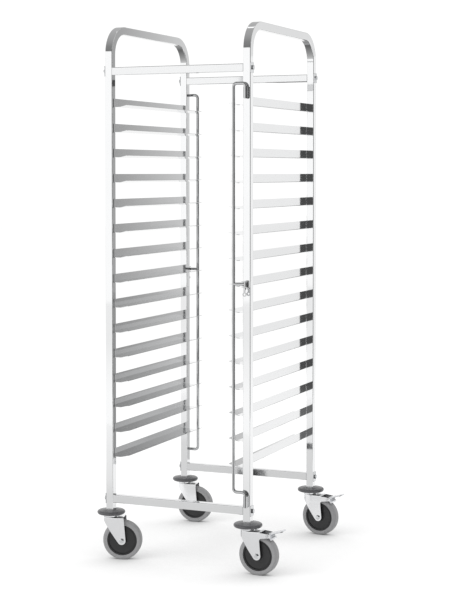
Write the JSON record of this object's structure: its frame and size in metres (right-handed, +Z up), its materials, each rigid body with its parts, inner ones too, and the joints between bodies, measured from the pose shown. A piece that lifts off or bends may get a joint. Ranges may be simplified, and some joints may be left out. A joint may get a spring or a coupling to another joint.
{
  "type": "tray trolley",
  "caption": "Tall stainless steel tray trolley: bent tube side frames, bolted crossbars, angle tray rails, hinged stop rods, and swivel casters with round bumpers, one side braked.",
  "frame": {"origin": "on the floor, under the middle of the whole footprint, wheels and brake pedals included", "axes": "+Z up; +X to the side the casters trail to and the brakes are on; -Y is the front, and trays slide along Y"},
  "size_m": [0.6418, 0.665, 1.712],
  "materials": {
    "frame_steel": "bright polished stainless steel",
    "rail_steel": "bright stainless sheet",
    "rod_steel": "polished stainless rod and sheet",
    "fastener_steel": "plain stainless steel",
    "caster_steel": "bright zinc plated pressed steel",
    "bearing_steel": "greased hardened steel",
    "brake_steel": "bright zinc plated sheet",
    "bumper_rubber": "grey rubber, satin",
    "tyre_rubber": "grey non-marking rubber, satin",
    "hub_plastic": "black moulded plastic",
    "bush_plastic": "natural nylon",
    "plug_plastic": "black moulded plastic"
  },
  "bodies": {
    "frame": {"side_frame_left": "frame_steel", "side_frame_right": "frame_steel", "crossbar_upper_front": "frame_steel", "crossbar_upper_rear": "frame_steel", "crossbar_lower_front": "frame_steel", "crossbar_lower_rear": "frame_steel", "tray_rails_01": "rail_steel", "tray_rails_02": "rail_steel", "tray_rails_03": "rail_steel", "tray_rails_04": "rail_steel", "tray_rails_05": "rail_steel", "tray_rails_06": "rail_steel", "tray_rails_07": "rail_steel", "tray_rails_08": "rail_steel", "tray_rails_09": "rail_steel", "tray_rails_10": "rail_steel", "tray_rails_11": "rail_steel", "tray_rails_12": "rail_steel", "tray_rails_13": "rail_steel", "tray_rails_14": "rail_steel", "tray_rails_15": "rail_steel", "rod_sleeves": "rod_steel", "hinge_brackets": "rod_steel", "crossbar_bolts": "fastener_steel", "bolt_washers": "fastener_steel", "crossbar_inserts": "fastener_steel", "hinge_pins": "fastener_steel", "catch_rivets": "fastener_steel", "post_plugs": "plug_plastic", "bumpers": "bumper_rubber", "swivel_heads": "caster_steel", "swivel_bearings": "bearing_steel"},
    "fork_left_front": {"fork_left_front": "caster_steel", "axle_left_front": "fastener_steel"},
    "wheel_left_front": {"hub_left_front": "hub_plastic", "bush_left_front": "bush_plastic", "tyre_left_front": "tyre_rubber"},
    "fork_right_front": {"fork_right_front": "caster_steel", "axle_right_front": "fastener_steel", "brake_pin_right_front": "fastener_steel"},
    "wheel_right_front": {"hub_right_front": "hub_plastic", "bush_right_front": "bush_plastic", "tyre_right_front": "tyre_rubber"},
    "brake_right_front": {"brake_pedal_right_front": "brake_steel"},
    "fork_left_rear": {"fork_left_rear": "caster_steel", "axle_left_rear": "fastener_steel"},
    "wheel_left_rear": {"hub_left_rear": "hub_plastic", "bush_left_rear": "bush_plastic", "tyre_left_rear": "tyre_rubber"},
    "fork_right_rear": {"fork_right_rear": "caster_steel", "axle_right_rear": "fastener_steel", "brake_pin_right_rear": "fastener_steel"},
    "wheel_right_rear": {"hub_right_rear": "hub_plastic", "bush_right_rear": "bush_plastic", "tyre_right_rear": "tyre_rubber"},
    "brake_right_rear": {"brake_pedal_right_rear": "brake_steel"},
    "stop_rod_front": {"stop_rod_front": "rod_steel"},
    "rod_catch_front": {"rod_catch_front": "rod_steel"},
    "stop_rod_rear": {"stop_rod_rear": "rod_steel"},
    "rod_catch_rear": {"rod_catch_rear": "rod_steel"}
  },
  "joints": [
    {"name": "swivel_left_front", "type": "hinge", "parent": "frame", "child": "fork_left_front", "pos_m": [-0.2758, -0.2875, 0.138], "axis": [0, 0, 1], "continuous": true},
    {"name": "roll_left_front", "type": "hinge", "parent": "fork_left_front", "child": "wheel_left_front", "pos_m": [-0.23975, -0.27716, 0.0625], "axis": [-0.2756, 0.9613, 0], "continuous": true},
    {"name": "swivel_right_front", "type": "hinge", "parent": "frame", "child": "fork_right_front", "pos_m": [0.1992, -0.2875, 0.138], "axis": [0, 0, 1], "continuous": true},
    {"name": "roll_right_front", "type": "hinge", "parent": "fork_right_front", "child": "wheel_right_front", "pos_m": [0.2367, -0.2875, 0.0625], "axis": [0, 1, 0], "continuous": true},
    {"name": "brake_right_front", "type": "hinge", "parent": "fork_right_front", "child": "brake_right_front", "pos_m": [0.2712, -0.2875, 0.1265], "axis": [0, 1, 0], "range_deg": [0, 20]},
    {"name": "swivel_left_rear", "type": "hinge", "parent": "frame", "child": "fork_left_rear", "pos_m": [-0.2758, 0.2875, 0.138], "axis": [0, 0, 1], "continuous": true},
    {"name": "roll_left_rear", "type": "hinge", "parent": "fork_left_rear", "child": "wheel_left_rear", "pos_m": [-0.23858, 0.29207, 0.0625], "axis": [-0.1219, 0.9925, 0], "continuous": true},
    {"name": "swivel_right_rear", "type": "hinge", "parent": "frame", "child": "fork_right_rear", "pos_m": [0.1992, 0.2875, 0.138], "axis": [0, 0, 1], "continuous": true},
    {"name": "roll_right_rear", "type": "hinge", "parent": "fork_right_rear", "child": "wheel_right_rear", "pos_m": [0.23656, 0.28423, 0.0625], "axis": [0.0872, 0.9962, 0], "continuous": true},
    {"name": "brake_right_rear", "type": "hinge", "parent": "fork_right_rear", "child": "brake_right_rear", "pos_m": [0.27093, 0.28122, 0.1265], "axis": [0.0872, 0.9962, 0], "range_deg": [0, 20]},
    {"name": "rod_swing_front", "type": "hinge", "parent": "frame", "child": "stop_rod_front", "pos_m": [0.1992, -0.308, 0.8995], "axis": [0, 0, 1], "range_deg": [0, 180]},
    {"name": "catch_turn_front", "type": "hinge", "parent": "frame", "child": "rod_catch_front", "pos_m": [0.1992, -0.3168, 0.8855], "axis": [0, 1, 0], "range_deg": [0, 130]},
    {"name": "rod_swing_rear", "type": "hinge", "parent": "frame", "child": "stop_rod_rear", "pos_m": [-0.2758, 0.308, 0.8995], "axis": [0, 0, 1], "range_deg": [0, 180]},
    {"name": "catch_turn_rear", "type": "hinge", "parent": "frame", "child": "rod_catch_rear", "pos_m": [-0.2758, 0.3168, 0.8855], "axis": [0, -1, 0], "range_deg": [0, 130]}
  ]
}
